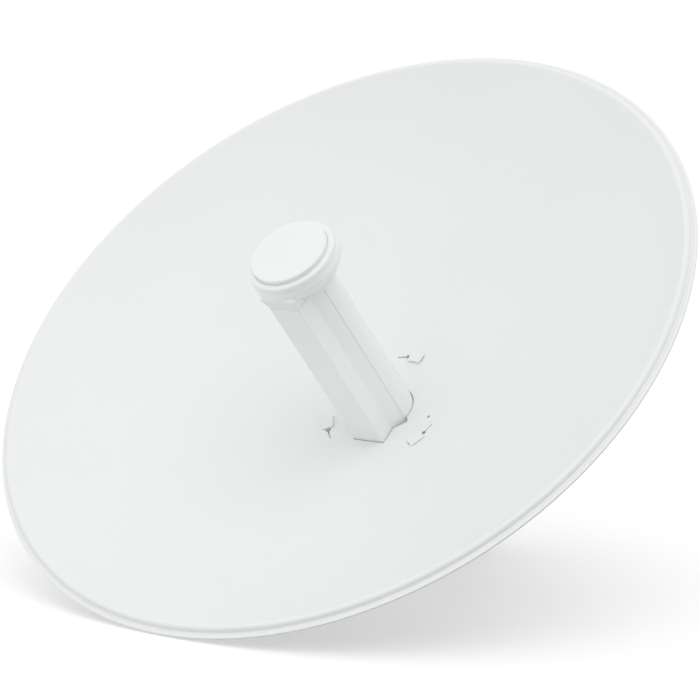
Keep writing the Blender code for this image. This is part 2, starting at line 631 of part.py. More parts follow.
clear_scene()
PARTS = collection("wireless_bridge_dish_antenna")
CUTTERS = collection("cutters")
make_dish()
BEHIND_BOWL = bowl_cutter()
make_feed()
make_housing(BEHIND_BOWL)
make_dish_bracket(BEHIND_BOWL)
make_pole_bracket()
make_clamps()
stand_on_ground()
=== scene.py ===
"""The finished look of a wireless bridge dish antenna, laid out as a Blender add-on.

Lengths are in metres and angles in degrees. Each piece is worked out in the dish frame:
X to the right as the bowl is faced, Y up across the bowl, Z out of the bowl along its
axis, with Z = 0 at the crest of the rolled lip. The two pole seats in the record say how
the dish frame stands in the model.
"""
import json
import math

import bmesh
import bpy
import numpy as np
from mathutils import Matrix


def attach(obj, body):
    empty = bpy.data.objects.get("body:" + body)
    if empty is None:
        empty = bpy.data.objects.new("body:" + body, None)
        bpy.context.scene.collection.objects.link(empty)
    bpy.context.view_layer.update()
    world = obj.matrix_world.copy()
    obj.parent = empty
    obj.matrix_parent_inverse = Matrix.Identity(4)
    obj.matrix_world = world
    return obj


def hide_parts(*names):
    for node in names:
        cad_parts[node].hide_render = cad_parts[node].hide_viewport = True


bl_info = {
    "name": "Wireless Bridge Dish Antenna",
    "version": (1, 0, 0),
    "blender": (4, 5, 0),
    "location": "View3D > Sidebar > Dish Antenna",
    "description": "Builds the finished surfaces, the stage and the camera of a dish antenna",
    "category": "Object",
}

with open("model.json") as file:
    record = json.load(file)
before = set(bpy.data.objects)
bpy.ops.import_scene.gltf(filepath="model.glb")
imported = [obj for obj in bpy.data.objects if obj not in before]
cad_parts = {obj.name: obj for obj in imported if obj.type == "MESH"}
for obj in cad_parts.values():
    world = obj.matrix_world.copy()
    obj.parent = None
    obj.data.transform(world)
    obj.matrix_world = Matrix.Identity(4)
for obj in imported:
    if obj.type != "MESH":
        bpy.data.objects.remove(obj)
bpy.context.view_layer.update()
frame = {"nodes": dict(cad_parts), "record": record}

# Where the pole seats lie on the dish's axis
SEAT_DEPTH = 0.2322


def dish_frame():
    """The turn and the origin that carry the dish frame into the model."""
    upper, lower = (np.array(mount["pos_m"]) for mount in frame["record"]["mounts"])
    up = (upper - lower) / np.linalg.norm(upper - lower)
    right = np.array((1.0, 0.0, 0.0))
    turn = np.column_stack((right, up, np.cross(right, up)))
    return turn, (upper + lower) / 2 + turn @ (0.0, 0.0, SEAT_DEPTH)


TURN, ORIGIN = dish_frame()


def directions(turns):
    """The points (cos t, sin t), one for each turn t in degrees."""
    angles = np.radians(turns)
    return np.column_stack((np.cos(angles), np.sin(angles)))


def extent(node):
    """The lowest and highest corner of a CAD node in the dish frame."""
    mesh = frame["nodes"][node].data
    corners = np.empty(len(mesh.vertices) * 3)
    mesh.vertices.foreach_get("co", corners)
    places = (corners.reshape(-1, 3) - ORIGIN) @ TURN
    return places.min(axis=0), places.max(axis=0)


# Gap between pieces that touch, and what is smaller than any real length or turn
GAP = 0.0003
TINY = 1e-6
# Angle up to which faces count as one, angles from which edges get rounded, in most pieces
# and in the bowl, and the steps of a rounded edge
FLAT_ANGLE = 1.0
EDGE_ANGLE = 40.0
HOLE_EDGE_ANGLE = 60.0
EDGE_SEGMENTS = 3
# Steps round the dish's axis, at 1.5 degrees each, and round a fastener
ROUND_STEPS = 240
STEP = 360.0 / ROUND_STEPS
TURNS = np.arange(ROUND_STEPS) * STEP
DIRECTIONS = directions(TURNS)
HEX_STEPS = 72
HEX_TURNS = np.arange(HEX_STEPS) * 360.0 / HEX_STEPS
HEX_DIRECTIONS = directions(HEX_TURNS)

# Bowl, and its lip and flange as corners (radius, height, rounding)
BOWL_EDGE = 0.3134
BOWL_EDGE_DROP = 0.0012
LIP = ((0.3185, 0.0026, 0.0032), (0.3199, -0.0050, 0.0012), (0.3222, -0.0038, 0.0016),
       (0.3251, -0.0044, 0.0010), (0.3248, -0.0059, 0.0003), (0.3200, -0.0070, 0.0008),
       (0.3176, -0.0060, 0.0008), (0.3166, -0.0030, 0.0008), (0.3139, -0.0031, 0.0004))
BOWL_TOP_RING = 0.3120
BOWL_RING_STEP = 0.0050
# Slots' and slits' radii
SLOT_INNER = 0.0550
SLIT_INNER = 0.0564
SLIT_OUTER = 0.0576
SLOT_OUTER = 0.0590
# Middle of the bowl: shares of the way from the feed's opening to a circle, then circles.
# The small hole's patch lies between two of the shares.
CENTRE_RADIUS = 0.0500
HOLE_SHARES = (0.72, 1.0)
OPENING_SHARES = (0.0, 0.2, 0.45, HOLE_SHARES[0], 0.86, HOLE_SHARES[1])
SLOT_RINGS = (0.0525, SLOT_INNER, SLIT_INNER, SLIT_OUTER, SLOT_OUTER, 0.0620)
BOWL_START = 0.0700

# Feed column: a round tube that meets an angular spine
TUBE_RADIUS = extent("feed_tube")[1][1]
TUBE_STEPS = 106
SEAM_ANGLE = -18.7
# Turn where the tube's arc starts in the outline of the whole column
COLUMN_ARC_START = STEP * round((SEAM_ANGLE + 4.0) / STEP)
SPINE_HALF_WIDTH = 0.0157
SPINE_BOTTOM = -0.0375
SPINE_WAIST_Y = -0.0199
SHOULDER_X = 0.0230
SHOULDER_Y = -0.0080
# How far the waist and the shoulders go down as the outline grows by 1
WAIST_DROP = 0.3
SHOULDER_DROP = 0.2
OPENING_CLEARANCE = 0.0006
SHOULDER_NOTCH = (0.0042, -0.0038)
SOCKET_CLEARANCE = 0.0004
SOCKET_FLOOR = -0.1300

# Locking slots and lugs, and the small hole
SLOT_MIDDLES = (94.5, 214.5, 334.5)
SLOT_HALF_ANGLE = 15.0
SLOT_WELL_ANGLE = 3.0
SLIT_END = 12.0
SLOT_WELL_FLOOR = -0.1270
SMALL_HOLE = (0.0471, -0.0048)
SMALL_HOLE_RADIUS = 0.0016
SMALL_HOLE_PATCH = 3
LUG_HEAD = (0.0515, 0.0625)
LUG_HEAD_CORNER = 0.0016
LUG_HEAD_RADIUS = 0.0580
LUG_HEAD_RISE = 0.0014
LUG_STEM = (0.0554, 0.0586)
LUG_STEM_CORNER = 0.0004
LUG_END_ANGLE = 0.4
BAR_STEPS = 13
BEND_STEPS = 5

# Neck, between a square collar and the cap
NECK_RADIUS = 0.0308
NECK_EDGE = 0.0002
NECK_STEP = 0.75
NECK_ROWS = 29
SPREAD_START = 0.2
SPREAD_LENGTH = 0.60
COLLAR_ROUNDING = 0.0060

# Cap: a ring with a groove that holds the disc
CAP_FLOOR = extent("feed_cap_disc")[0][2] - GAP
CAP_FOOT_RADIUS = 0.0406
GROOVE_RADIUS = 0.03455
GROOVE_ROUNDING = 0.0004
RING_SIDE_END = 0.0800
RING_ROUNDING = 0.0025
RING_SIDE_ROUNDING = 0.0030
RING_EDGE = 0.0001
DISC_ROUNDING = 0.0014
DISC_FOOT_ROUNDING = 0.0003

# Rear housing, and the groove of its seam
HOUSING_RADIUS = 0.0660
HOUSING_FRONT_ROUNDING = 0.0012
HOUSING_BACK_ROUNDING = 0.0095
SEAM_HEIGHT = -0.1330
SEAM_WIDTH = 0.0005

# Fasteners: a bolt's head, radius and plain shanks, and a stud's thread, base and edge
HEAD_FLANGE_RADIUS = 0.0075
HEAD_APOTHEM = 0.0058
HEAD_HEIGHT = 0.0053
BOLT_RADIUS = 0.0040
CLAMP_SHANK = 0.0080
ELEVATION_SHANK = 0.0640
THREAD_RADIUS = 0.0030
STUD_BASE = -0.1580
STUD_EDGE = 0.0006
# Ground terminal: its washer's radius and thickness, half its width across the flats, and
# how far its sides start above the washer
TERMINAL_WASHER = (0.0060, 0.0018)
TERMINAL_APOTHEM = 0.0042
TERMINAL_LIFT = 0.0002
# Small edge on turned metal, and how steeply a hexagon's corners are cut down
METAL_EDGE = 0.0003
CHAMFER_SLOPE = 0.55
# Chamfer's start on a nut and on a head, and the flat and the dish in a head's top, as
# shares of the distance from the middle to a side
NUT_CHAMFER = 0.98
HEAD_CHAMFER = 0.96
HEAD_TOP = (0.62, 0.74)
HEAD_DISH = 0.0006
# Heights of a head's flange: its rim's foot and top, its slope's top, and its hexagon's foot
FLANGE_HEIGHTS = (0.0009, 0.0012, 0.0018, 0.0021)
FLANGE_SLOPE = 0.94
# Rows of a thread for each pitch, its depth in pitches, its wave's power and its tip's taper
THREAD_ROWS = 6
THREAD_DEPTH = 0.55
THREAD_POWER = 1.5
TIP_TAPER = 0.6

# Cable grommet: its sunk middle and lip as corners (radius, height, rounding), its flange's
# thickness and roundings, and its stem's radius and roundings
GROMMET_LIP = ((0.0, -0.0012, 0.0), (0.0030, -0.0010, 0.0010), (0.0046, 0.0, 0.0006))
GROMMET_FLANGE = 0.0027
GROMMET_FLANGE_ROUNDINGS = (0.0010, 0.0005)
GROMMET_STEM = 0.0077
GROMMET_STEM_ROUNDINGS = (0.0002, 0.0006)

# Back of the dish bracket's web
WEB_BACK = -0.1616


def unit(vector):
    """The vector at length 1."""
    return np.asarray(vector, float) / np.linalg.norm(vector)


def rounded(corners, closed=False, steps=8):
    """A flat line through corners (a, b, rounding), each turned into an arc.

    An arc of radius q at a corner whose sides meet at the angle w starts q / tan(w / 2)
    before the corner, and its centre lies q / sin(w / 2) from it along the bisector.
    """
    points = np.array([corner[:2] for corner in corners])
    line = []
    for index, (a, b, radius) in enumerate(corners):
        inner = closed or 0 < index < len(corners) - 1
        if not inner or radius == 0.0:
            line.append([(a, b)])
            continue
        back = unit(points[index - 1] - points[index])
        ahead = unit(points[(index + 1) % len(points)] - points[index])
        half = math.acos(np.clip(back @ ahead, -1.0, 1.0)) / 2
        centre = points[index] + unit(back + ahead) * radius / math.sin(half)
        start = points[index] + back * radius / math.tan(half) - centre
        end = points[index] + ahead * radius / math.tan(half) - centre
        first, last = (math.atan2(side[1], side[0]) for side in (start, end))
        swing = (last - first + math.pi) % (2 * math.pi) - math.pi
        angles = first + swing * np.linspace(0.0, 1.0, steps + 1)
        line.append(centre + radius * np.column_stack((np.cos(angles), np.sin(angles))))
    return np.concatenate(line)


def arc(radius, start, end, count):
    """Points (radius cos t, radius sin t) with t from start to end."""
    return radius * directions(np.linspace(start, end, count))


def turned(line, around=DIRECTIONS):
    """A line of (r, z) carried round the axis: rows of (r cos t, r sin t, z) over a full turn.

    r and z are numbers, or have one value for each direction in around.
    """
    rows = []
    for radius, height in line:
        radius = np.broadcast_to(radius, len(around))[:, None]
        rows.append(np.column_stack((radius * around, np.broadcast_to(height, len(around)))))
    return np.stack(rows)


def rings(line):
    """A line carried round the axis in the steps of a fastener."""
    return turned(line, HEX_DIRECTIONS)


class Surface:
    """Points and faces that gather until they become one piece's mesh."""

    def __init__(self):
        self.points = np.empty((0, 3))
        self.quads = np.empty((0, 4), int)
        self.caps = []

    def grid(self, points, wrap_rows=False, removed=None):
        """Adds rows of points that close along each row, and returns the points' numbers.

        Each cell joins (row, column), (row + 1, column), (row + 1, column + 1) and
        (row, column + 1), unless removed says that the cell is open.
        """
        rows, columns = points.shape[:2]
        numbers = len(self.points) + np.arange(rows * columns).reshape(rows, columns)
        self.points = np.vstack((self.points, points.reshape(-1, 3)))
        below = np.roll(numbers, -1, axis=0)
        cells = np.stack((numbers, below, np.roll(below, -1, axis=1),
                          np.roll(numbers, -1, axis=1)), axis=-1)
        kept = np.ones((rows, columns), bool) if removed is None else ~removed
        kept[-1] &= wrap_rows
        self.quads = np.vstack((self.quads, cells[kept]))
        return numbers

    def walls(self, top, bottom, removed):
        """Joins two grids of numbers all along the edge of the cells that are open."""
        across = removed ^ np.roll(removed, 1, axis=0)
        across[0] = removed[0]
        i, j = np.nonzero(across)
        k = (j + 1) % removed.shape[1]
        self.quads = np.vstack((self.quads, np.column_stack(
            (top[i, j], top[i, k], bottom[i, k], bottom[i, j]))))
        i, j = np.nonzero(removed ^ np.roll(removed, 1, axis=1))
        self.quads = np.vstack((self.quads, np.column_stack(
            (top[i, j], top[i + 1, j], bottom[i + 1, j], bottom[i, j]))))

    def prism(self, outline, low, high):
        """A flat outline given a thickness, from heights low to heights high."""
        low, high = (np.broadcast_to(height, len(outline)) for height in (low, high))
        rows = np.stack((np.column_stack((outline, high)), np.column_stack((outline, low))))
        numbers = self.grid(rows)
        self.caps += [numbers[0], numbers[1][::-1]]

    def mesh(self, name, place=Matrix.Identity(4)):
        """The gathered shape as a mesh in the model, its doubles merged, its faces outward."""
        made = bpy.data.meshes.new(name)
        turn = np.array(place)
        points = self.points @ turn[:3, :3].T + turn[:3, 3]
        made.from_pydata(points @ TURN.T + ORIGIN, [], self.quads.tolist()
                         + [cap.tolist() for cap in self.caps])
        work = bmesh.new()
        work.from_mesh(made)
        bmesh.ops.remove_doubles(work, verts=work.verts, dist=TINY)
        bmesh.ops.recalc_face_normals(work, faces=work.faces)
        work.to_mesh(made)
        work.free()
        made.shade_smooth()
        return made


def solid(rows, wrap_rows=False):
    """A piece made of one grid."""
    shell = Surface()
    shell.grid(rows, wrap_rows)
    return shell


def column(node, outline):
    """A flat outline carried along the axis, as high as its CAD node."""
    low, high = extent(node)
    shell = Surface()
    shell.prism(outline, low[2], high[2])
    return shell


def new_object(name, data):
    """A new object, put in the scene."""
    made = bpy.data.objects.new(name, data)
    bpy.context.scene.collection.objects.link(made)
    return made


def add_piece(node, mesh, finish, edge=0.0, edge_angle=EDGE_ANGLE):
    """Puts a finished mesh in the place of its CAD node, with its edges rounded by edge."""
    piece = new_object(node + "_detail", mesh)
    if edge:
        bevel = piece.modifiers.new("Edges", "BEVEL")
        bevel.width = edge
        bevel.segments = EDGE_SEGMENTS
        bevel.limit_method = "ANGLE"
        bevel.angle_limit = math.radians(edge_angle)
        bevel.harden_normals = True
    weight = piece.modifiers.new("Flat faces", "WEIGHTED_NORMAL")
    weight.weight = 100
    piece.data.materials.append(finish_of(finish))
    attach(piece, "root")
    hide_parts(node)


def softened(node):
    """A copy of a CAD node, its triangles merged where they are flat to FLAT_ANGLE."""
    work = bmesh.new()
    work.from_mesh(frame["nodes"][node].data)
    bmesh.ops.remove_doubles(work, verts=work.verts, dist=TINY)
    bmesh.ops.dissolve_limit(work, angle_limit=math.radians(FLAT_ANGLE), verts=work.verts,
                             edges=work.edges)
    places = [vert.co.copy() for vert in work.verts]
    work.verts.index_update()
    faces = [[vert.index for vert in face.verts] for face in work.faces]
    work.free()
    mesh = bpy.data.meshes.new(node + "_detail")
    mesh.from_pydata(places, [], faces)
    mesh.shade_smooth()
    return mesh


def length_property(name, description, default, lowest, highest):
    """A size in metres, shown in the panel."""
    return bpy.props.FloatProperty(name=name, description=description, default=default,
                                   min=lowest, max=highest, unit="LENGTH")


def strength_property(name, description, default, highest=3.0):
    """A strength or a share of light, shown in the panel."""
    return bpy.props.FloatProperty(name=name, description=description, default=default,
                                   min=0.0, max=highest)


def colour_property(name, description, default):
    """A linear colour, shown in the panel."""
    return bpy.props.FloatVectorProperty(name=name, description=description, default=default,
                                         min=0.0, max=1.0, subtype="COLOR")


class DishSizes(bpy.types.PropertyGroup):
    """Sizes of the pressed bowl."""

    depth: length_property(
        "Bowl Depth", "From the lip's crest to the bottom of the bowl", 0.118, 0.05, 0.2)
    sheet: length_property("Sheet", "Thickness of the pressed sheet", 0.0015, 0.0008, 0.003)
    hole_edge: length_property(
        "Hole Edges", "Rounding of the edges of the pressed holes", 0.00035, 0.0, 0.0006)


class FeedSizes(bpy.types.PropertyGroup):
    """Sizes of the feed's mouldings."""

    corner: length_property(
        "Spine Corners", "Rounding of the spine's long corners", 0.0010, 0.0002, 0.003)
    edge: length_property(
        "Moulded Edges", "Rounding of the other moulded edges", 0.00025, 0.0001, 0.001)
    neck_flare: length_property(
        "Collar Flare", "How far the collar spreads between spine and cap", 0.0048, 0.0, 0.006)


class FixingSizes(bpy.types.PropertyGroup):
    """Sizes of bent plates and fasteners."""

    plate_edge: length_property(
        "Plate Edges", "Rounding of the painted plates' edges", 0.0006, 0.0001, 0.0012)
    bolt_pitch: length_property(
        "Bolt Pitch", "Thread pitch of the clamp and elevation bolts", 0.00125, 0.0005, 0.002)
    stud_pitch: length_property(
        "Stud Pitch", "Thread pitch of the studs", 0.0010, 0.0005, 0.002)


class Finishes(bpy.types.PropertyGroup):
    """Colours of the finishes."""

    dish_paint: colour_property("Dish Paint", "Powder coat of the bowl", (0.800, 0.817, 0.811))
    feed_plastic: colour_property(
        "Feed Plastic", "Moulded plastic of the feed", (0.824, 0.845, 0.833))
    housing_plastic: colour_property(
        "Housing Plastic", "Moulded plastic of the rear housing", (0.780, 0.806, 0.796))
    bracket_paint: colour_property(
        "Bracket Paint", "Powder coat of the brackets", (0.740, 0.760, 0.754))
    zinc: colour_property("Zinc", "Plating of the fasteners", (0.62, 0.63, 0.64))
    grommet_rubber: colour_property(
        "Rubber", "Rubber of the cable grommet", (0.028, 0.028, 0.030))


class StageLook(bpy.types.PropertyGroup):
    """Light and view of the stage."""

    ambient: strength_property("Ambient", "Strength of the light from all round", 1.03)
    overhead: strength_property(
        "Ambient Overhead", "Strength of the light from straight above", 0.90)
    below: strength_property(
        "Ambient Below", "Strength of the light that comes from below", 1.05)
    below_right: strength_property(
        "Ambient Below Right", "Strength of the light from below on the right", 0.0)
    glow: strength_property(
        "Floor Glow", "Share of the floor's brightness that no shadow takes", 0.23, 1.0)
    key: strength_property(
        "Key Light", "Strength of the large soft light from the upper right", 0.48, 10.0)
    key_spread: bpy.props.FloatProperty(
        name="Key Spread", description="How wide the key light is in the sky",
        default=math.radians(50.0), min=0.0, max=math.pi, subtype="ANGLE")
    focal_length: bpy.props.FloatProperty(
        name="Focal Length", description="Lens on a 36 mm wide sensor, in millimetres",
        default=133.7, min=20.0, max=300.0)
    floor: colour_property("Floor", "Colour of the floor", (0.81, 0.81, 0.81))


class Wire:
    """One socket's value in a material. Arithmetic on it adds Math nodes."""

    def __init__(self, tree, socket=None):
        self.tree = tree
        self.socket = socket

    def node(self, kind, settings=None, inputs=None, output=0):
        """Adds a node: its settings come first, then each input gets a value or a link."""
        made = self.tree.nodes.new(kind)
        for key, value in (settings or {}).items():
            setattr(made, key, value)
        for key, value in (inputs or {}).items():
            if isinstance(value, Wire):
                self.tree.links.new(value.socket, made.inputs[key])
            else:
                made.inputs[key].default_value = value
        return Wire(self.tree, made.outputs[output])

    def feed(self, shader, name):
        """Links this value to a socket of a shader."""
        self.tree.links.new(self.socket, shader.inputs[name])

    def math(self, operation, first, second):
        """Adds a Math node with two values."""
        return self.node("ShaderNodeMath", {"operation": operation}, {0: first, 1: second})

    def __add__(self, other):
        return self.math("ADD", self, other)

    def __radd__(self, other):
        return self.math("ADD", other, self)

    def __sub__(self, other):
        return self.math("SUBTRACT", self, other)

    def __mul__(self, other):
        return self.math("MULTIPLY", self, other)

    def __rmul__(self, other):
        return self.math("MULTIPLY", other, self)

    def ramp(self, start, end):
        """Rises smoothly from 0 where this value is start to 1 where it is end."""
        return self.node("ShaderNodeMapRange", {"interpolation_type": "SMOOTHSTEP"}, {
            "Value": self, "From Min": start, "From Max": end})

    def noise(self, place, scale, detail=2.0):
        """Noise from 0 to 1 whose blots are about 1 / scale metres across."""
        return self.node("ShaderNodeTexNoise", {}, {
            "Vector": place, "Scale": scale, "Detail": detail})

    def blended(self, factor, first, second):
        """The first colour where the factor is 0 and the second where it is 1.

        The node's colours are its inputs 6 and 7 and its output 2.
        """
        return self.node("ShaderNodeMix", {"data_type": "RGBA"},
                         {0: factor, 6: (*first, 1.0), 7: (*second, 1.0)}, 2)


# Each finish: roughness and how much it varies, metallic, coat, brightness of the darker
# blots, scale of the blots, and the scale and height in metres of the fine grain
FINISHES = {
    "dish_paint": (0.46, 0.08, 0.0, 0.0, 0.985, 9.0, 620.0, 0.000018),
    "feed_plastic": (0.40, 0.06, 0.0, 0.5, 0.985, 16.0, 1500.0, 0.000010),
    "housing_plastic": (0.48, 0.08, 0.0, 0.0, 0.975, 14.0, 1300.0, 0.000016),
    "bracket_paint": (0.50, 0.10, 0.0, 0.0, 0.970, 18.0, 900.0, 0.000024),
    "zinc": (0.34, 0.16, 1.0, 0.0, 0.820, 320.0, 1800.0, 0.000006),
    "grommet_rubber": (0.78, 0.10, 0.0, 0.0, 0.700, 120.0, 900.0, 0.000030),
}
COAT_ROUGHNESS = 0.22
# Scales of the roughness's blots and of the finer grain, as shares of the first ones, and
# how much of the grain's height is coarse
ROUGH_BLOTS = 3.7
FINER_GRAIN = 4.0
COARSE_SHARE = 0.7


def new_material(name, values):
    """A new material whose shader's inputs have these values, and that shader."""
    material = bpy.data.materials.new(name)
    material.use_nodes = True
    shader = material.node_tree.nodes["Principled BSDF"]
    for key, value in values.items():
        shader.inputs[key].default_value = value
    return material, shader


def finish_of(name):
    """The material of one finish, made when it is first asked for.

    Its colour drifts in soft blots, its roughness drifts with other blots, and its fine
    grain raises it by the sum of a coarse and a fine noise.
    """
    found = bpy.data.materials.get(name + "_finish")
    if found:
        return found
    roughness, drift, metallic, coat, dark, blot, grain, height = FINISHES[name]
    colour = np.array(getattr(bpy.context.scene.antenna_finishes, name))
    material, shader = new_material(name + "_finish", {
        "Metallic": metallic, "Coat Weight": coat, "Coat Roughness": COAT_ROUGHNESS})
    start = Wire(material.node_tree)
    place = start.node("ShaderNodeTexCoord", output="Object")
    soft = start.noise(place, blot, detail=3.0)
    start.blended(soft, colour * dark, np.minimum(colour * (2 - dark), 1.0)).feed(
        shader, "Base Color")
    rough = start.noise(place, blot * ROUGH_BLOTS, detail=4.0)
    (roughness + drift * (rough - 0.5)).feed(shader, "Roughness")
    coarse = start.noise(place, grain)
    fine = start.noise(place, grain * FINER_GRAIN, detail=1.0)
    raised = COARSE_SHARE * coarse + (1 - COARSE_SHARE) * fine
    start.node("ShaderNodeBump", {}, {
        "Strength": 1.0, "Distance": height, "Height": raised}).feed(shader, "Normal")
    return material


def bowl_front(radius):
    """Height of the bowl's front: a parabola from its bottom to its edge."""
    depth = bpy.context.scene.antenna_dish.depth
    return -depth + (depth - BOWL_EDGE_DROP) * (radius / BOWL_EDGE) ** 2


def bowl_back(radius):
    """Height of the bowl's back: the front less the sheet's thickness along the slope."""
    sizes = bpy.context.scene.antenna_dish
    slope = 2 * (sizes.depth - BOWL_EDGE_DROP) * radius / BOWL_EDGE ** 2
    return bowl_front(radius) - sizes.sheet * np.hypot(1.0, slope)


def reach(outline, turns):
    """Distance from the axis to a closed outline, at each turn.

    The ray at a turn meets the side from a to b at the distance (a x b) / (ray x (b - a)).
    """
    angles = np.degrees(np.arctan2(outline[:, 1], outline[:, 0])) % 360
    order = np.argsort(angles)
    outline, angles = outline[order], angles[order]
    index = np.searchsorted(angles, turns + TINY) - 1
    x, y = outline[index].T
    aside, ahead = (outline[(index + 1) % len(outline)] - outline[index]).T
    angle = np.radians(turns)
    return (x * ahead - y * aside) / (np.cos(angle) * ahead - np.sin(angle) * aside)


def column_edge(grow, notch=(0.0, 0.0)):
    """The feed column's outline grown on all sides, as one point for each turn.

    The notch moves the two shoulders' corners further out and down. The turns nearest to
    the six corners take the corners themselves.
    """
    half = SPINE_HALF_WIDTH + grow
    right = np.array([(half, SPINE_BOTTOM - grow), (half, SPINE_WAIST_Y - WAIST_DROP * grow),
                      (SHOULDER_X + grow + notch[0], SHOULDER_Y - SHOULDER_DROP * grow + notch[1])])
    start, end = COLUMN_ARC_START, 180 - COLUMN_ARC_START
    top = arc(TUBE_RADIUS + grow, start, end, round((end - start) / STEP) + 1)
    left = right[::-1] * (-1.0, 1.0)
    outline = np.vstack((top, left, right))
    edge = DIRECTIONS * reach(outline, TURNS)[:, None]
    corners = np.vstack((right, left))
    nearest = np.round(np.degrees(np.arctan2(corners[:, 1], corners[:, 0])) / STEP).astype(int)
    edge[nearest % ROUND_STEPS] = corners
    return edge


def centre_rows(edge):
    """Rows from the feed's opening to a circle, as straight shares of the way, then circles."""
    circle = DIRECTIONS * CENTRE_RADIUS
    shares = np.array(OPENING_SHARES)[:, None, None]
    circles = DIRECTIONS * np.array(SLOT_RINGS)[:, None, None]
    return np.concatenate((edge + shares * (circle - edge), circles))


def open_cells(rows, first_ring, last_ring, start, end):
    """Marks the cells between two rings of SLOT_RINGS and between two turns."""
    marked = np.zeros((rows, ROUND_STEPS), bool)
    lowest = len(OPENING_SHARES) + SLOT_RINGS.index(first_ring)
    highest = len(OPENING_SHARES) + SLOT_RINGS.index(last_ring)
    columns = np.arange(round(start / STEP), round(end / STEP)) % ROUND_STEPS
    marked[lowest:highest, columns] = True
    return marked


def with_height(rows, height):
    """Flat rows of points raised to height(distance from the axis)."""
    return np.concatenate((rows, height(np.linalg.norm(rows, axis=-1))[..., None]), axis=-1)


def make_reflector():
    """The pressed bowl as one closed sheet.

    Its rows run from the feed's opening out over the front, over the rolled lip and the
    flange, and back to the opening behind. The slots are open cells with walls from front
    to back, and the small hole is a patch of rows that shrink to its circle.
    """
    centre = centre_rows(column_edge(OPENING_CLEARANCE, SHOULDER_NOTCH))
    radii = np.arange(BOWL_START, BOWL_TOP_RING, BOWL_RING_STEP)
    front = np.column_stack((radii, bowl_front(radii)))
    back = np.column_stack((radii, bowl_back(radii)))[::-1]
    start = (BOWL_TOP_RING, bowl_front(BOWL_TOP_RING), 0.0)
    end = (BOWL_TOP_RING, bowl_back(BOWL_TOP_RING), 0.0)
    outer = turned(np.vstack((front, rounded((start, *LIP, end)), back)))
    rows = np.concatenate((with_height(centre, bowl_front), outer,
                           with_height(centre[::-1], bowl_back)))
    count = len(centre)
    slots = np.zeros((count, ROUND_STEPS), bool)
    for middle in SLOT_MIDDLES:
        slots |= open_cells(count, SLOT_INNER, SLOT_OUTER, middle - SLOT_HALF_ANGLE,
                            middle + SLOT_WELL_ANGLE)
        slots |= open_cells(count, SLIT_INNER, SLIT_OUTER, middle + SLOT_WELL_ANGLE,
                            middle + SLIT_END)
    hole_turn = round(math.degrees(math.atan2(SMALL_HOLE[1], SMALL_HOLE[0])) / STEP)
    lowest, highest = (OPENING_SHARES.index(share) for share in HOLE_SHARES)
    columns = np.arange(hole_turn - SMALL_HOLE_PATCH, hole_turn + SMALL_HOLE_PATCH + 1)
    opened = slots.copy()
    opened[lowest:highest, columns[:-1]] = True
    removed = np.zeros(rows.shape[:2], bool)
    removed[:count - 1] = opened[:-1]
    removed[-count:-1] = opened[:-1][::-1]
    shell = Surface()
    numbers = shell.grid(rows, wrap_rows=True, removed=removed)
    shell.walls(numbers, numbers[::-1], slots)
    block = np.concatenate((centre[lowest, columns], centre[lowest + 1:highest, columns[-1]],
                            centre[highest, columns[::-1]],
                            centre[lowest + 1:highest, columns[0]][::-1]))
    spread = block - SMALL_HOLE
    circle = SMALL_HOLE + SMALL_HOLE_RADIUS * spread / np.linalg.norm(spread, axis=1)[:, None]
    patch = np.stack((block, (block + circle) / 2, circle))
    shell.grid(np.concatenate((with_height(patch, bowl_front),
                               with_height(patch[::-1], bowl_back))))
    return shell


def make_housing():
    """The rear housing: its front follows the bowl, with the feed's socket and three wells."""
    radius, back = HOUSING_RADIUS, extent("rear_housing")[0][2]

    def seat(distance):
        """Height of the housing's front, just behind the bowl."""
        return bowl_back(distance) - GAP

    edge = column_edge(SOCKET_CLEARANCE)
    centre = centre_rows(edge)
    socket = np.column_stack((edge, np.full(ROUND_STEPS, SOCKET_FLOOR)))[None]
    side = rounded(((SLOT_RINGS[-1], seat(SLOT_RINGS[-1]), 0.0),
                    (radius, seat(radius), HOUSING_FRONT_ROUNDING),
                    (radius, SEAM_HEIGHT + SEAM_WIDTH, 0.0), (radius - SEAM_WIDTH, SEAM_HEIGHT, 0.0),
                    (radius, SEAM_HEIGHT - SEAM_WIDTH, 0.0), (radius, back, HOUSING_BACK_ROUNDING),
                    (0.0, back, 0.0)))
    shell = Surface()
    rows = np.concatenate((socket, with_height(centre, seat), turned(side[1:])))
    wells = np.zeros((len(centre) + 1, ROUND_STEPS), bool)
    for middle in SLOT_MIDDLES:
        wells[1:] |= open_cells(len(centre), SLOT_INNER, SLOT_OUTER, middle,
                                middle + SLOT_WELL_ANGLE)
    removed = np.zeros(rows.shape[:2], bool)
    removed[:len(wells)] = wells
    numbers = shell.grid(rows, removed=removed)
    shell.caps.append(numbers[0])
    floor = with_height(centre, lambda distance: np.full_like(distance, SLOT_WELL_FLOOR))
    sunk = shell.grid(np.concatenate((floor[:1], floor)), removed=~wells)
    shell.walls(numbers[:len(wells)], sunk, wells)
    return shell


def make_spine(sizes):
    """The lower moulding of the column, with an angular section."""
    right = ((SPINE_HALF_WIDTH, SPINE_BOTTOM, sizes.corner),
             (SPINE_HALF_WIDTH, SPINE_WAIST_Y, sizes.corner),
             (SHOULDER_X, SHOULDER_Y, sizes.edge))
    left = tuple((-x, y, corner) for x, y, corner in reversed(right))
    return column("feed_spine", rounded(right + left, closed=True, steps=4))


def make_tube():
    """The upper moulding of the column: a round section, cut flat where it meets the spine."""
    return column("feed_tube", arc(TUBE_RADIUS, SEAM_ANGLE, 180 - SEAM_ANGLE, TUBE_STEPS))


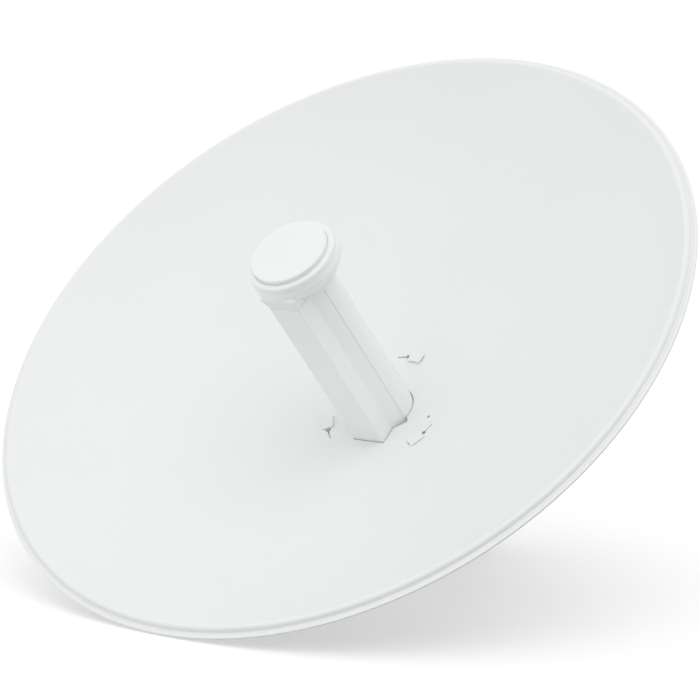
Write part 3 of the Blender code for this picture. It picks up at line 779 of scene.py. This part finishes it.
def make_neck(sizes):
    """The neck: a round section that spreads to the cap's foot, joined to a square collar.

    At the share u of the way up, the circle's radius is the neck's plus the spread times
    a smooth step of u, and the collar has grown by flare * u ** 1.5 * (1 - u ** 6), its
    corners rounder by u ** 4. The surface is the further out of the two at each turn.
    """
    low, high = extent("feed_neck")
    turns = np.arange(0.0, 360.0, NECK_STEP)
    rows = []
    for share in np.linspace(1.0, 0.0, NECK_ROWS):
        flare = sizes.neck_flare * share ** 1.5 * (1 - share ** 6)
        step = np.clip((share - SPREAD_START) / SPREAD_LENGTH, 0.0, 1.0)
        radius = NECK_RADIUS + (CAP_FOOT_RADIUS - GAP - NECK_RADIUS) * step ** 2 * (3 - 2 * step)
        half, bottom = SPINE_HALF_WIDTH + flare, SPINE_BOTTOM - flare
        corner = sizes.corner + COLLAR_ROUNDING * share ** 4
        collar = rounded(((half, half, 0.0), (half, bottom, corner), (-half, bottom, corner),
                          (-half, half, 0.0)))
        section = directions(turns) * np.maximum(radius, reach(collar, turns))[:, None]
        height = low[2] + share * (high[2] - low[2])
        rows.append(np.column_stack((section, np.full(len(section), height))))
    shell = Surface()
    numbers = shell.grid(np.stack(rows))
    shell.caps += [numbers[0], numbers[-1][::-1]]
    return shell


def make_cap_ring():
    """The ring of the cap, turned, with a groove that holds the disc."""
    low, high = extent("feed_cap_ring")
    line = rounded(((0.0, CAP_FLOOR, 0.0), (GROOVE_RADIUS, CAP_FLOOR, GROOVE_ROUNDING),
                    (GROOVE_RADIUS, high[2], RING_EDGE), (high[0], high[2], RING_ROUNDING),
                    (high[0], RING_SIDE_END, RING_SIDE_ROUNDING),
                    (CAP_FOOT_RADIUS, low[2], RING_EDGE), (0.0, low[2], 0.0)))
    return solid(turned(line))


def make_cap_disc():
    """The cap's front disc, turned, with a soft edge."""
    low, high = extent("feed_cap_disc")
    line = rounded(((0.0, high[2], 0.0), (high[0], high[2], DISC_ROUNDING),
                    (high[0], low[2], DISC_FOOT_ROUNDING), (0.0, low[2], 0.0)))
    return solid(turned(line))


def bend(first, corner, last):
    """A curve from first to last: (1 - s)^2 first + 2 s (1 - s) corner + s^2 last."""
    share = np.linspace(0.0, 1.0, BEND_STEPS + 1)[:, None]
    return (1 - share) ** 2 * first + 2 * share * (1 - share) * corner + share ** 2 * last


def curved_bar(inner, outer, start, end, corner):
    """The outline of a bar bent round the axis: two arcs, with rounded ends between them."""
    spare = math.degrees(corner / inner)
    outside = arc(outer, start + spare, end - spare, BAR_STEPS)
    inside = arc(inner, end - spare, start + spare, BAR_STEPS)
    first, last = (arc(1.0, turn, turn, 1)[0] for turn in (start, end))
    return np.vstack((
        outside, bend(outside[-1], last * outer, last * (outer - corner))[1:],
        bend(last * (inner + corner), last * inner, inside[0])[:-1],
        inside, bend(inside[-1], first * inner, first * (inner + corner))[1:],
        bend(first * (outer - corner), first * outer, outside[0])[:-1]))


def make_lug(middle):
    """A lug: its head lies on the bowl, flat on top, and its stem reaches through the slot."""
    start, end = middle - SLOT_HALF_ANGLE + LUG_END_ANGLE, middle - LUG_END_ANGLE
    top = bowl_front(LUG_HEAD_RADIUS) + LUG_HEAD_RISE
    shell = Surface()
    head = curved_bar(*LUG_HEAD, start, end, LUG_HEAD_CORNER)
    shell.prism(head, bowl_front(np.linalg.norm(head, axis=1)) + GAP, top)
    stem = curved_bar(*LUG_STEM, start, end, LUG_STEM_CORNER)
    shell.prism(stem, bowl_back(SLOT_OUTER), top - LUG_HEAD_RISE / 2)
    return shell


def hexagon(apothem):
    """Distance from the axis to a hexagon's side: apothem / cos of the turn from the side."""
    return apothem / np.cos(np.radians((HEX_TURNS + 30.0) % 60.0 - 30.0))


def chamfer(radius, start):
    """How far a corner at radius is cut down by a cone that starts at the radius start."""
    return np.maximum(radius - start, 0.0) * CHAMFER_SLOPE


def nut_rows(apothem, bore, height):
    """A hexagon nut from its near face at 0 to its far face: bore, faces and chamfered side."""
    side = hexagon(apothem)
    edge = apothem * NUT_CHAMFER
    cut = chamfer(side, edge)
    mouth = bore / 10
    return rings(((bore, height - mouth), (bore + mouth, height), (edge, height),
                  (side, height - cut), (side, cut), (edge, 0.0),
                  (bore + mouth, 0.0), (bore, mouth)))


def thread_rows(radius, pitch, low, high):
    """A thread from high down to low, with a tapered tip at low.

    At the height z and the turn t the surface is pulled in by a wave of the phase
    z / pitch - t / one turn, and it fades out over one pitch at each end.
    """
    count = max(int((high - low) / pitch * THREAD_ROWS), 2 * THREAD_ROWS)
    height = np.linspace(high, low, count)[:, None]
    turn = HEX_TURNS / 360.0
    fade = np.clip((high - height) / pitch, 0.0, 1.0) * np.clip((height - low) / pitch, 0.0, 1.0)
    wave = 0.5 - 0.5 * np.cos(2 * math.pi * (height / pitch - turn))
    tip = radius - np.clip(pitch - (height - low), 0.0, pitch) * TIP_TAPER
    distance = tip - pitch * THREAD_DEPTH * fade * wave ** THREAD_POWER
    return np.concatenate((distance[..., None] * HEX_DIRECTIONS,
                           np.broadcast_to(height, distance.shape)[..., None]), axis=-1)


def head_rows(apothem, flange, height):
    """A hexagon head on a round flange, from the middle of its top to its underside."""
    side = hexagon(apothem)
    edge = apothem * HEAD_CHAMFER
    dish, flat = (apothem * share for share in HEAD_TOP)
    floor = height - HEAD_DISH
    rim_foot, rim_top, slope_top, side_foot = FLANGE_HEIGHTS
    slope = np.maximum(side, flange * FLANGE_SLOPE)
    inner = flange - METAL_EDGE
    return rings(((0.0, floor), (dish, floor), (flat, height), (edge, height),
                  (side, height - chamfer(side, edge)), (side, side_foot), (slope, slope_top),
                  (inner, rim_top), (flange, rim_foot), (flange, METAL_EDGE), (inner, 0.0)))


def matrix_of(turn, place):
    """The matrix that turns by turn and then takes the origin to place."""
    matrix = np.eye(4)
    matrix[:3, :3] = turn
    matrix[:3, 3] = place
    return Matrix(matrix.tolist())


def looking(axis, place):
    """A matrix that takes the Z axis to axis and the origin to place, in the dish frame."""
    ahead = unit(axis)
    aside = unit(np.cross((0.0, 1.0, 0.0) if abs(ahead[1]) < 0.9 else (1.0, 0.0, 0.0), ahead))
    return matrix_of(np.column_stack((aside, np.cross(ahead, aside), ahead)), place)


def make_grommet(flange, depth):
    """The grommet, turned: a sunk middle, a lip, a flange and a stem that goes into the port."""
    front, back = GROMMET_FLANGE_ROUNDINGS
    root, end = GROMMET_STEM_ROUNDINGS
    line = rounded((*GROMMET_LIP, (flange, 0.0, front), (flange, -GROMMET_FLANGE, back),
                    (GROMMET_STEM, -GROMMET_FLANGE, root), (GROMMET_STEM, -depth, end),
                    (0.0, -depth, 0.0)))
    return solid(rings(line))


def add_bolt(node, axis, pitch, smooth):
    """A bolt whose head looks along axis, in the space of its CAD node.

    smooth is the length of the plain shank under the head.
    """
    low, high = extent(node)
    axis = np.array(axis, float)
    middle = (low + high) / 2
    length = abs((high - low) @ axis)
    head = head_rows(HEAD_APOTHEM, HEAD_FLANGE_RADIUS, HEAD_HEIGHT)
    end = HEAD_HEIGHT - length
    shank = rings(((BOLT_RADIUS + METAL_EDGE, 0.0), (BOLT_RADIUS, -METAL_EDGE),
                   (BOLT_RADIUS, -smooth)))
    thread = thread_rows(BOLT_RADIUS, pitch, end, -smooth)
    shell = solid(np.concatenate((head, shank, thread[1:], rings(((0.0, end),)))))
    place = middle + axis * (length / 2 - HEAD_HEIGHT)
    add_piece(node, shell.mesh(node, looking(axis, place)), "zinc")


def add_nut(node, axis, bore):
    """A nut whose far face looks along axis, as wide over its corners as its CAD node."""
    low, high = extent(node)
    axis = np.array(axis, float)
    height = abs((high - low) @ axis)
    middle = (low + high) / 2
    apothem = np.max(high - low) / 2 * math.cos(math.pi / 6)
    shell = solid(nut_rows(apothem, bore, height), wrap_rows=True)
    add_piece(node, shell.mesh(node, looking(axis, middle - axis * height / 2)), "zinc")


def add_stud(node, pitch):
    """A press-in stud behind the bowl: a round body and a thread that takes the nut."""
    low, high = extent(node)
    middle = (low + high) / 2
    radius = (high[0] - low[0]) / 2
    seat = bowl_back(np.linalg.norm(middle[:2] + radius * HEX_DIRECTIONS, axis=1)) - GAP
    centre_seat = bowl_back(np.linalg.norm(middle[:2])) - GAP
    body = rings(((0.0, centre_seat), (radius, seat), (radius, STUD_BASE + STUD_EDGE),
                  (radius - STUD_EDGE, STUD_BASE), (THREAD_RADIUS, STUD_BASE)))
    thread = thread_rows(THREAD_RADIUS, pitch, low[2], STUD_BASE)
    shell = solid(np.concatenate((body, thread, rings(((0.0, low[2]),)))))
    place = Matrix.Translation((middle[0], middle[1], 0.0))
    add_piece(node, shell.mesh(node, place), "zinc")


class AntennaOperator:
    """What the operators share: each has a build of its own."""

    bl_options = {"REGISTER", "UNDO"}

    def execute(self, context):
        """Builds the operator's pieces in the scene."""
        self.build(context.scene)
        return {"FINISHED"}


class ANTENNA_OT_reflector(AntennaOperator, bpy.types.Operator):
    """Press the bowl with its lip, slots and hole"""

    bl_idname = "antenna.reflector"
    bl_label = "Reflector"

    def build(self, scene):
        sizes = scene.antenna_dish
        shell = make_reflector()
        add_piece("dish_reflector", shell.mesh("dish_reflector"), "dish_paint",
                  sizes.hole_edge, HOLE_EDGE_ANGLE)


class ANTENNA_OT_feed(AntennaOperator, bpy.types.Operator):
    """Mould the feed's column, neck and cap"""

    bl_idname = "antenna.feed"
    bl_label = "Feed"

    def build(self, scene):
        sizes = scene.antenna_feed
        for node, shell, edge in (("feed_tube", make_tube(), sizes.edge),
                                  ("feed_spine", make_spine(sizes), sizes.edge),
                                  ("feed_neck", make_neck(sizes), NECK_EDGE),
                                  ("feed_cap_ring", make_cap_ring(), 0.0),
                                  ("feed_cap_disc", make_cap_disc(), 0.0)):
            add_piece(node, shell.mesh(node), "feed_plastic", edge)


class ANTENNA_OT_locking_lugs(AntennaOperator, bpy.types.Operator):
    """Mould the three locking lugs that lie on the bowl"""

    bl_idname = "antenna.locking_lugs"
    bl_label = "Locking Lugs"

    def build(self, scene):
        edge = scene.antenna_feed.edge
        for index, middle in enumerate(SLOT_MIDDLES):
            node = f"locking_lug_{index + 1}"
            add_piece(node, make_lug(middle).mesh(node), "housing_plastic", edge)


class ANTENNA_OT_rear_housing(AntennaOperator, bpy.types.Operator):
    """Mould the rear housing, its cable port and the port's door and grommet"""

    bl_idname = "antenna.rear_housing"
    bl_label = "Rear Housing"

    def build(self, scene):
        edge = scene.antenna_feed.edge
        add_piece("rear_housing", make_housing().mesh("rear_housing"), "housing_plastic")
        add_piece("cable_port", softened("cable_port"), "housing_plastic", 4 * edge)
        add_piece("cable_port_door", softened("cable_port_door"), "housing_plastic", 2 * edge)
        low, high = extent("cable_grommet")
        place = looking((0.0, -1.0, 0.0), ((low[0] + high[0]) / 2, low[1], (low[2] + high[2]) / 2))
        shell = make_grommet((high[0] - low[0]) / 2, high[1] - low[1])
        add_piece("cable_grommet", shell.mesh("cable_grommet", place), "grommet_rubber")


class ANTENNA_OT_brackets(AntennaOperator, bpy.types.Operator):
    """Bend the dish bracket, the pole bracket and the clamps' jaws"""

    bl_idname = "antenna.brackets"
    bl_label = "Brackets and Jaws"

    def build(self, scene):
        edge = scene.antenna_fixings.plate_edge
        for node in ("dish_bracket", "pole_bracket", "pole_saddle_upper", "pole_saddle_lower",
                     "pole_clamp_upper", "pole_clamp_lower"):
            add_piece(node, softened(node), "bracket_paint", edge)


class ANTENNA_OT_fasteners(AntennaOperator, bpy.types.Operator):
    """Turn the bolts, nuts, studs and the ground terminal"""

    bl_idname = "antenna.fasteners"
    bl_label = "Fasteners"

    def build(self, scene):
        sizes = scene.antenna_fixings
        for index in range(1, 5):
            add_bolt(f"clamp_bolt_{index}", (0, 0, 1), sizes.bolt_pitch, CLAMP_SHANK)
            add_nut(f"clamp_nut_{index}", (0, 0, -1), BOLT_RADIUS + GAP)
            add_stud(f"mounting_stud_{index}", sizes.stud_pitch)
            add_nut(f"mounting_nut_{index}", (0, 0, -1), THREAD_RADIUS + GAP)
        for name in ("pivot", "lock"):
            add_bolt(f"elevation_{name}_bolt", (-1, 0, 0), sizes.bolt_pitch, ELEVATION_SHANK)
            add_nut(f"elevation_{name}_nut", (1, 0, 0), BOLT_RADIUS + GAP)
        self.add_terminal(sizes.stud_pitch)

    def add_terminal(self, pitch):
        """The ground terminal: a hexagon screw on a washer, through the dish bracket's web."""
        node = "ground_terminal"
        low, high = extent(node)
        middle = (low + high) / 2
        washer, thickness = TERMINAL_WASHER
        inner = washer - METAL_EDGE
        side = hexagon(TERMINAL_APOTHEM)
        edge = TERMINAL_APOTHEM * HEAD_CHAMFER
        height = WEB_BACK - low[2]
        rows = rings(((0.0, height), (edge, height), (side, height - chamfer(side, edge)),
                      (side, thickness + TERMINAL_LIFT), (inner, thickness),
                      (washer, thickness - METAL_EDGE), (washer, METAL_EDGE), (inner, 0.0),
                      (THREAD_RADIUS, 0.0)))
        end = WEB_BACK - high[2]
        thread = thread_rows(THREAD_RADIUS, pitch, end, 0.0)
        shell = solid(np.concatenate((rows, thread, rings(((0.0, end),)))))
        place = looking((0, 0, -1), (middle[0], middle[1], WEB_BACK))
        add_piece(node, shell.mesh(node, place), "zinc")


# Camera, fitted to the photograph: the place of the rim's middle from it, the way the
# bowl's axis points in its view, and how far it looks down
VIEW_RIM = np.array((-0.0130, 0.0215, -2.2259))
VIEW_AXIS = (-0.4101, 0.6456, 0.6442)
VIEW_DOWN = 8.0
VIEW_RIM_HEIGHT = -0.0040
SENSOR = 36.0
VIEW_END = 100.0

# Floor: how far it goes each way, its squares a side, and how far below the feet it lies
FLOOR_REACH = 120.0
FLOOR_CELLS = 8
FLOOR_DROP = 0.0004

# Sky, in the height and the place to the right of a direction of length 1: where the light
# from below gives way to the horizon's, where that gives way to the light from above, and
# where the right begins
HORIZON = (-0.30, -0.04)
OVERHEAD = (0.2, 1.0)
RIGHT = (-0.1, 0.6)
# Turns of the key light from straight above, to the front and to the right
KEY_TURN = (20.0, 25.0)


def camera_matrix():
    """The camera's place in the model.

    In the camera's view the dish's Z is VIEW_AXIS, its Y is the upright left of it, and
    its X is square to both. Turned round, they give the camera's axes in the dish frame.
    """
    out = unit(VIEW_AXIS)
    upright = np.array((0.0, math.cos(math.radians(VIEW_DOWN)), math.sin(math.radians(VIEW_DOWN))))
    up = unit(upright - (upright @ out) * out)
    camera_axes = np.column_stack((np.cross(up, out), up, out)).T
    place = (0.0, 0.0, VIEW_RIM_HEIGHT) - camera_axes @ VIEW_RIM
    return matrix_of(TURN @ camera_axes, TURN @ place + ORIGIN)


class ANTENNA_OT_stage(AntennaOperator, bpy.types.Operator):
    """Lay the floor, set the lights and place the camera"""

    bl_idname = "antenna.stage"
    bl_label = "Stage"

    def build(self, scene):
        look = scene.antenna_stage
        self.add_floor(look)
        self.add_lights(scene, look)
        camera = new_object("camera", bpy.data.cameras.new("camera"))
        camera.data.sensor_width = SENSOR
        camera.data.lens = look.focal_length
        camera.data.clip_end = VIEW_END
        camera.matrix_world = camera_matrix()
        scene.camera = camera
        scene.view_settings.view_transform = "Standard"
        scene.cycles.use_denoising = True

    def add_floor(self, look):
        """A flat grid, partly bright by itself, that throws no light back on the antenna."""
        side = np.linspace(-FLOOR_REACH, FLOOR_REACH, FLOOR_CELLS + 1)
        x, y = np.meshgrid(side, side)
        mesh = bpy.data.meshes.new("floor")
        numbers = np.arange(x.size).reshape(x.shape)
        cells = np.stack((numbers[:-1, :-1], numbers[:-1, 1:], numbers[1:, 1:], numbers[1:, :-1]),
                         axis=-1)
        mesh.from_pydata(np.stack((x, y, np.full_like(x, -FLOOR_DROP)), axis=-1).reshape(-1, 3),
                         [], cells.reshape(-1, 4).tolist())
        floor = new_object("floor", mesh)
        mesh.materials.append(new_material("floor", {
            "Base Color": (*look.floor, 1.0), "Roughness": 1.0, "Specular IOR Level": 0.0,
            "Emission Color": (1.0, 1.0, 1.0, 1.0), "Emission Strength": look.glow})[0])
        floor.visible_diffuse = False
        floor.visible_glossy = False

    def add_lights(self, scene, look):
        """A sky that changes with the height and to the right, and a wide key light."""
        world = bpy.data.worlds.new("ambient")
        world.use_nodes = True
        background = world.node_tree.nodes["Background"]
        background.inputs["Color"].default_value = (1.0, 1.0, 1.0, 1.0)
        start = Wire(world.node_tree)
        direction = start.node("ShaderNodeTexCoord", output="Generated")
        height = start.node("ShaderNodeSeparateXYZ", {}, {"Vector": direction}, "Z")
        aside = start.node("ShaderNodeSeparateXYZ", {}, {"Vector": direction}, "X")
        low = look.below + aside.ramp(*RIGHT) * (look.below_right - look.below)
        high = look.ambient + height.ramp(*OVERHEAD) * (look.overhead - look.ambient)
        (low + height.ramp(*HORIZON) * (high - low)).feed(background, "Strength")
        scene.world = world
        sun = bpy.data.lights.new("key", "SUN")
        sun.energy = look.key
        sun.angle = look.key_spread
        key = new_object("key", sun)
        key.rotation_euler = (*np.radians(KEY_TURN), 0.0)


class ANTENNA_PT_sidebar(bpy.types.Panel):
    """Sizes, colours and buttons of the antenna"""

    bl_idname = "ANTENNA_PT_sidebar"
    bl_label = "Dish Antenna"
    bl_space_type = "VIEW_3D"
    bl_region_type = "UI"
    bl_category = "Dish Antenna"

    def draw(self, context):
        for pointer, group in GROUPS.items():
            box = self.layout.box()
            box.label(text=group.__doc__)
            settings = getattr(context.scene, pointer)
            for name in group.__annotations__:
                box.prop(settings, name)
        for operator in OPERATORS:
            self.layout.operator(operator.bl_idname)


GROUPS = {
    "antenna_dish": DishSizes,
    "antenna_feed": FeedSizes,
    "antenna_fixings": FixingSizes,
    "antenna_finishes": Finishes,
    "antenna_stage": StageLook,
}
OPERATORS = (ANTENNA_OT_reflector, ANTENNA_OT_feed, ANTENNA_OT_locking_lugs,
             ANTENNA_OT_rear_housing, ANTENNA_OT_brackets, ANTENNA_OT_fasteners,
             ANTENNA_OT_stage)


def register():
    """Registers the classes and puts a group of settings on the scene for each pointer."""
    for group in (*GROUPS.values(), *OPERATORS, ANTENNA_PT_sidebar):
        bpy.utils.register_class(group)
    for pointer, group in GROUPS.items():
        setattr(bpy.types.Scene, pointer, bpy.props.PointerProperty(type=group))


def unregister():
    """Takes back what register did."""
    for pointer in GROUPS:
        delattr(bpy.types.Scene, pointer)
    for group in (ANTENNA_PT_sidebar, *reversed(OPERATORS), *GROUPS.values()):
        bpy.utils.unregister_class(group)


def main():
    """Builds the pieces and the stage."""
    register()
    bpy.ops.antenna.reflector()
    bpy.ops.antenna.feed()
    bpy.ops.antenna.locking_lugs()
    bpy.ops.antenna.rear_housing()
    bpy.ops.antenna.brackets()
    bpy.ops.antenna.fasteners()
    bpy.ops.antenna.stage()


if __name__ == "__main__":
    main()
